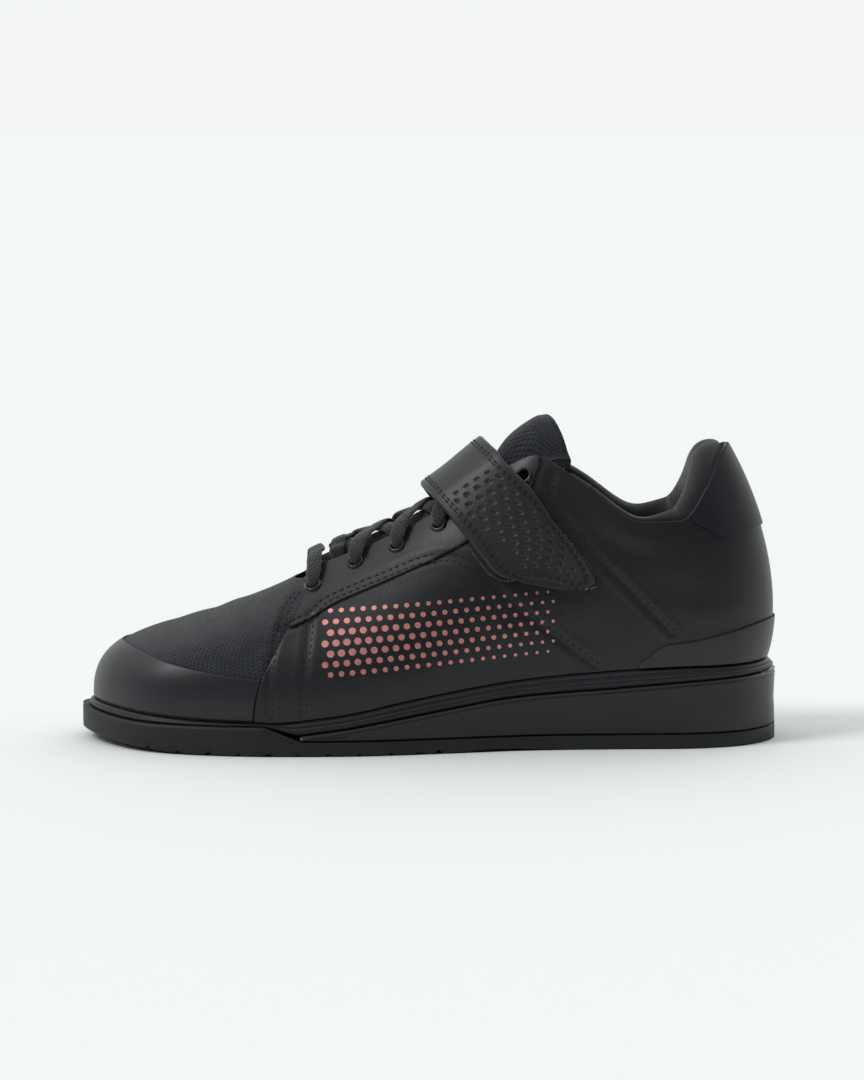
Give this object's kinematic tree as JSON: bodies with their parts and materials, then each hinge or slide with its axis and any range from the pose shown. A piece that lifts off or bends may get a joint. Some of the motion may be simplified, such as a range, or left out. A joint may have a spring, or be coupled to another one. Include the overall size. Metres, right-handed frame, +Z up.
{
  "type": "weightlifting shoe",
  "caption": "Low-cut left weightlifting shoe with a raised heel wedge, laced throat, padded collar and a wide instep strap.",
  "frame": {"origin": "on the floor under the middle of the shoe", "axes": "+Z up, -X towards the toe, -Y towards the outer side of the left foot"},
  "size_m": [0.292, 0.1056, 0.1382],
  "materials": {
    "outsole_rubber": "satin moulded rubber",
    "wedge_plastic": "satin moulded plastic",
    "midsole_foam": "matte moulded foam",
    "insole_cloth": "knitted cover on foam",
    "smooth_leather": "smooth semi-gloss leather, woven mesh at the toes",
    "panel_leather": "smooth semi-gloss leather",
    "welded_film": "satin welded film",
    "eyelet_lacquer": "glossy black lacquer",
    "tongue_mesh": "padded spacer mesh",
    "lining_knit": "brushed knit over padding",
    "lace_braid": "flat braided lace",
    "strap_leather": "smooth leather with pressed dimples",
    "fastener_pile": "hook and loop pile"
  },
  "bodies": {
    "root": {"outsole": "outsole_rubber", "heel_wedge": "wedge_plastic", "midsole": "midsole_foam", "insole": "insole_cloth", "upper": "smooth_leather", "toe_guard": "welded_film", "heel_tab": "panel_leather", "heel_counter": "welded_film", "eyestay_outer": "panel_leather", "eyestay_inner": "panel_leather", "eyelet_outer_1": "eyelet_lacquer", "eyelet_outer_2": "eyelet_lacquer", "eyelet_outer_3": "eyelet_lacquer", "eyelet_outer_4": "eyelet_lacquer", "eyelet_outer_5": "eyelet_lacquer", "eyelet_outer_6": "eyelet_lacquer", "eyelet_inner_1": "eyelet_lacquer", "eyelet_inner_2": "eyelet_lacquer", "eyelet_inner_3": "eyelet_lacquer", "eyelet_inner_4": "eyelet_lacquer", "eyelet_inner_5": "eyelet_lacquer", "eyelet_inner_6": "eyelet_lacquer", "tongue": "tongue_mesh", "collar_lining": "lining_knit", "lace_bar": "lace_braid", "lace_crossing_1": "lace_braid", "lace_crossing_2": "lace_braid", "lace_crossing_3": "lace_braid", "lace_crossing_4": "lace_braid", "strap": "strap_leather", "strap_pad": "fastener_pile"}
  },
  "joints": []
}
